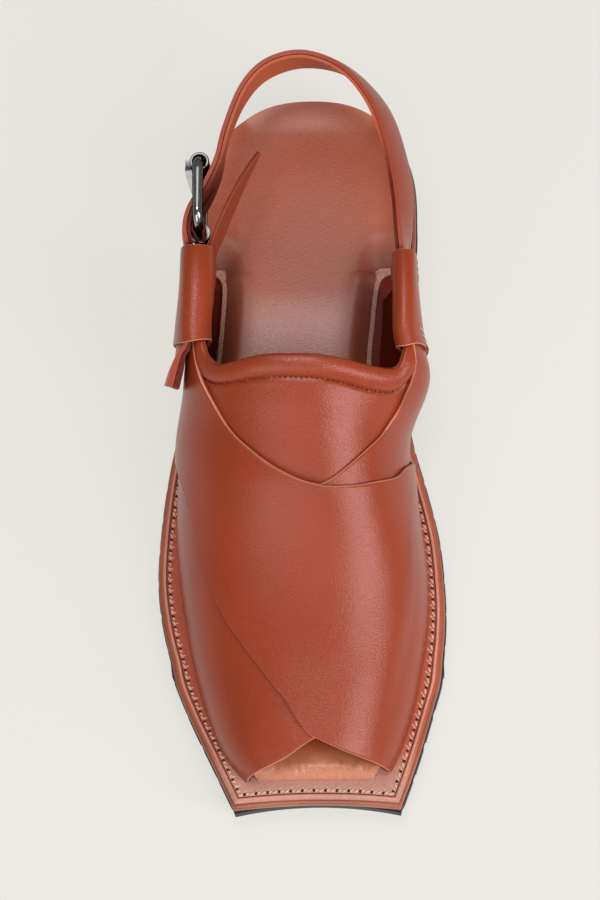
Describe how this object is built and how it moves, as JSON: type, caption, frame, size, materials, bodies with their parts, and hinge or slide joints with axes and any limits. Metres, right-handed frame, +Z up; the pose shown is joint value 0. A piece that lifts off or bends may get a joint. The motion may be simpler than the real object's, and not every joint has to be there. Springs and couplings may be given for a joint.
{
  "type": "peshawari chappal",
  "caption": "Right-foot sandal with crossed leather panels, a rolled tongue, a buckled heel strap and a stitched welt on a square-toed heeled sole.",
  "frame": {"origin": "on the floor under the middle of the heel's tread, 38 mm ahead of the heel's back end", "axes": "+X to the foot's inner (medial) side, +Y to the heel's back, -Y to the toe, +Z up"},
  "size_m": [0.1125, 0.2846, 0.0963],
  "materials": {
    "black_rubber": "matte moulded rubber with cross bars",
    "tan_board": "burnished leather edge",
    "welt_leather": "satin leather, stitched all round",
    "footbed_leather": "soft pebbled leather over padding",
    "upper_leather": "smooth red-brown leather with a soft shine",
    "dark_nickel": "polished dark nickel plate"
  },
  "bodies": {
    "root": {"outsole": "black_rubber", "heel_block": "black_rubber", "midsole": "tan_board", "topsole": "welt_leather", "footbed": "footbed_leather", "upper": "upper_leather", "tongue": "upper_leather", "keeper_medial": "upper_leather", "keeper_lateral": "upper_leather", "heel_strap": "upper_leather", "buckle_chape": "upper_leather", "underlay_tab": "upper_leather", "buckle_frame": "dark_nickel", "buckle_roller": "dark_nickel", "buckle_prong": "dark_nickel"}
  },
  "joints": []
}
